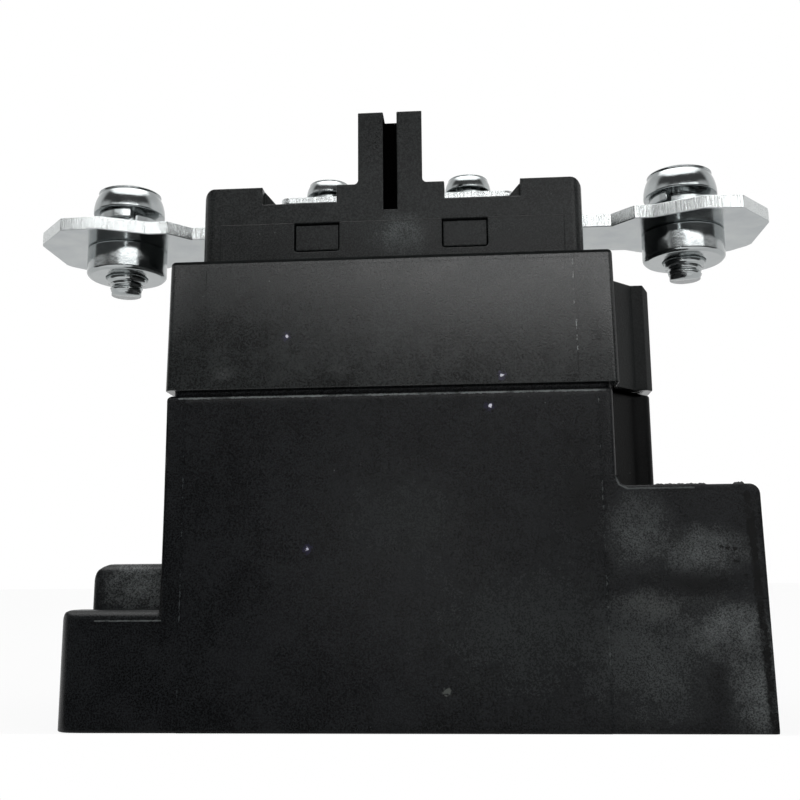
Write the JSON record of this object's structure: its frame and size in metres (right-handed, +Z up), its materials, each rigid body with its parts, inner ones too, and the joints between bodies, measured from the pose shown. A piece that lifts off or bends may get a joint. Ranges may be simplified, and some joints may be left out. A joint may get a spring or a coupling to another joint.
{
  "type": "power relay",
  "caption": "Black moulded power relay with bolted busbars at both sides, screwed coil terminals on top and a slotted barrier column between them.",
  "frame": {"origin": "centre of the bounding box on the plane the relay stands on", "axes": "+X to the right seen from the front, along the line through both main terminals; +Y away from the front; +Z up, along the plunger"},
  "size_m": [0.1268, 0.0482, 0.0966],
  "materials": {
    "base_plastic": "black moulded thermoplastic with a fine grain",
    "cover_plastic": "black moulded thermoplastic, a little greyer than the base",
    "plated_copper": "bright tin or nickel plating on stamped copper",
    "zinc_steel": "bright zinc-plated steel",
    "bare_copper": "bare copper",
    "silver_alloy": "matt silver alloy",
    "spring_steel": "drawn spring wire",
    "bright_steel": "plated soft steel",
    "natural_plastic": "uncoloured glass-filled nylon",
    "brass": "drawn brass tube",
    "rubber": "soft black rubber",
    "enamelled_copper": "enamelled copper wire, layer wound",
    "lead_black": "black sleeving",
    "lead_red": "red sleeving",
    "laminate_board": "brown paper laminate",
    "ferrite": "sintered ferrite"
  },
  "bodies": {
    "housing": {"base_case": "base_plastic", "contact_cover": "cover_plastic", "terminal_carrier": "cover_plastic", "main_bar_left": "plated_copper", "main_bar_right": "plated_copper", "main_nut_left": "zinc_steel", "main_nut_right": "zinc_steel", "main_screw_left": "zinc_steel", "main_screw_right": "zinc_steel", "main_spring_washer_left": "zinc_steel", "main_spring_washer_right": "zinc_steel", "main_flat_washer_left": "zinc_steel", "main_flat_washer_right": "zinc_steel", "coil_terminal_left": "plated_copper", "coil_terminal_right": "plated_copper", "coil_screw_left": "zinc_steel", "coil_screw_right": "zinc_steel", "coil_spring_washer_left": "zinc_steel", "coil_spring_washer_right": "zinc_steel", "coil_nut_left": "zinc_steel", "coil_nut_right": "zinc_steel", "contact_post_left": "bare_copper", "contact_post_right": "bare_copper", "fixed_tip_left": "silver_alloy", "fixed_tip_right": "silver_alloy", "fixed_core": "bright_steel", "return_spring": "spring_steel", "guide_sleeve": "brass", "cushion": "rubber", "bobbin": "natural_plastic", "coil_winding": "enamelled_copper", "coil_lead_left": "lead_black", "coil_lead_right": "lead_red", "yoke_frame": "bright_steel", "yoke_plate": "bright_steel", "yoke_screws": "zinc_steel", "chamber_floor": "laminate_board", "arc_magnet_front": "ferrite", "arc_magnet_rear": "ferrite", "mount_sleeve_left": "bright_steel", "mount_sleeve_right": "bright_steel"},
    "plunger_group": {"plunger": "bright_steel", "plunger_shaft": "bright_steel", "spring_seat": "natural_plastic", "bridge_clip": "spring_steel", "contact_spring": "spring_steel"},
    "bridge": {"contact_bridge": "bare_copper", "moving_tip_left": "silver_alloy", "moving_tip_right": "silver_alloy"}
  },
  "joints": [
    {"name": "plunger_lift", "type": "slide", "parent": "housing", "child": "plunger_group", "axis": [0, 0, 1], "range_m": [0, 0.0028], "stiffness_N_per_m": 400, "springref_m": -0.006, "deforming": ["return_spring", "contact_spring"]},
    {"name": "bridge_lift", "type": "slide", "parent": "housing", "child": "bridge", "axis": [0, 0, 1], "range_m": [0, 0.002]}
  ],
  "couplings": [
    {"joint": "bridge_lift", "follows": "plunger_lift", "ratio": 0.714}
  ]
}
